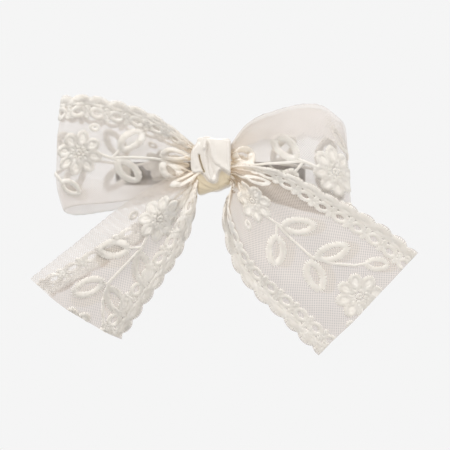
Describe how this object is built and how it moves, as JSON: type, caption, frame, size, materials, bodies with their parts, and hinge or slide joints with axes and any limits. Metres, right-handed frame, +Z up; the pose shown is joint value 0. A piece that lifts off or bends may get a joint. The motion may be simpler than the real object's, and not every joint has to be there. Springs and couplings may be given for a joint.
{
  "type": "hair bow",
  "caption": "Lace ribbon bow with open loops, hanging tails and a twisted satin knot, fixed to a sprung steel barrette clip that opens at the back.",
  "frame": {"origin": "middle of the clip's grip, where it holds the lock of hair, between the plate and the clasp arm", "axes": "+X to the viewer's right along the clip, +Y towards the wearer's head, +Z up as worn; the bow's front faces -Y"},
  "size_m": [0.1632, 0.0269, 0.1099],
  "materials": {
    "lace": "sheer ivory tulle with raised satin-stitch embroidery",
    "thread": "twisted cotton thread",
    "satin": "glossy cream satin",
    "glue": "translucent hot-melt glue",
    "dark_steel": "gunmetal plated",
    "spring_steel": "plated spring strip"
  },
  "bodies": {
    "bow": {"left_loop": "lace", "right_loop": "lace", "gathered_middle": "lace", "gathering_thread": "thread", "satin_knot": "satin", "glue_pad_left": "glue", "glue_pad_right": "glue", "clip_plate": "dark_steel", "hinge_pin": "dark_steel", "catch_base": "spring_steel", "catch_rivet": "dark_steel"},
    "left_tail_flap": {"left_tail": "lace"},
    "right_tail_flap": {"right_tail": "lace"},
    "clasp": {"clasp_arm": "dark_steel"},
    "leaf": {"tension_leaf": "spring_steel"},
    "upper_prong": {"catch_prong_upper": "spring_steel"},
    "lower_prong": {"catch_prong_lower": "spring_steel"}
  },
  "joints": [
    {"name": "arm_hinge", "type": "hinge", "parent": "bow", "child": "clasp", "pos_m": [-0.0373, 0.0002, 0], "axis": [0, 0, 1], "range_deg": [0, 75]},
    {"name": "leaf_press", "type": "hinge", "parent": "bow", "child": "leaf", "pos_m": [-0.0373, 0.0002, 0], "axis": [0, 0, -1], "range_deg": [0, 3], "stiffness_Nm_per_rad": 0.2},
    {"name": "left_tail_swing", "type": "hinge", "parent": "bow", "child": "left_tail_flap", "pos_m": [-0.0039, -0.0192, 0], "axis": [0, 0, 1], "range_deg": [0, 30], "stiffness_Nm_per_rad": 0.002},
    {"name": "right_tail_swing", "type": "hinge", "parent": "bow", "child": "right_tail_flap", "pos_m": [0.0081, -0.0192, 0], "axis": [0, 0, -1], "range_deg": [0, 30], "stiffness_Nm_per_rad": 0.002},
    {"name": "upper_prong_pinch", "type": "hinge", "parent": "bow", "child": "upper_prong", "pos_m": [0.0374, -0.00225, 0.0018], "axis": [-1, 0, 0], "range_deg": [0, 8], "stiffness_Nm_per_rad": 0.02},
    {"name": "lower_prong_pinch", "type": "hinge", "parent": "bow", "child": "lower_prong", "pos_m": [0.0374, -0.00225, -0.0018], "axis": [1, 0, 0], "range_deg": [0, 8], "stiffness_Nm_per_rad": 0.02}
  ]
}
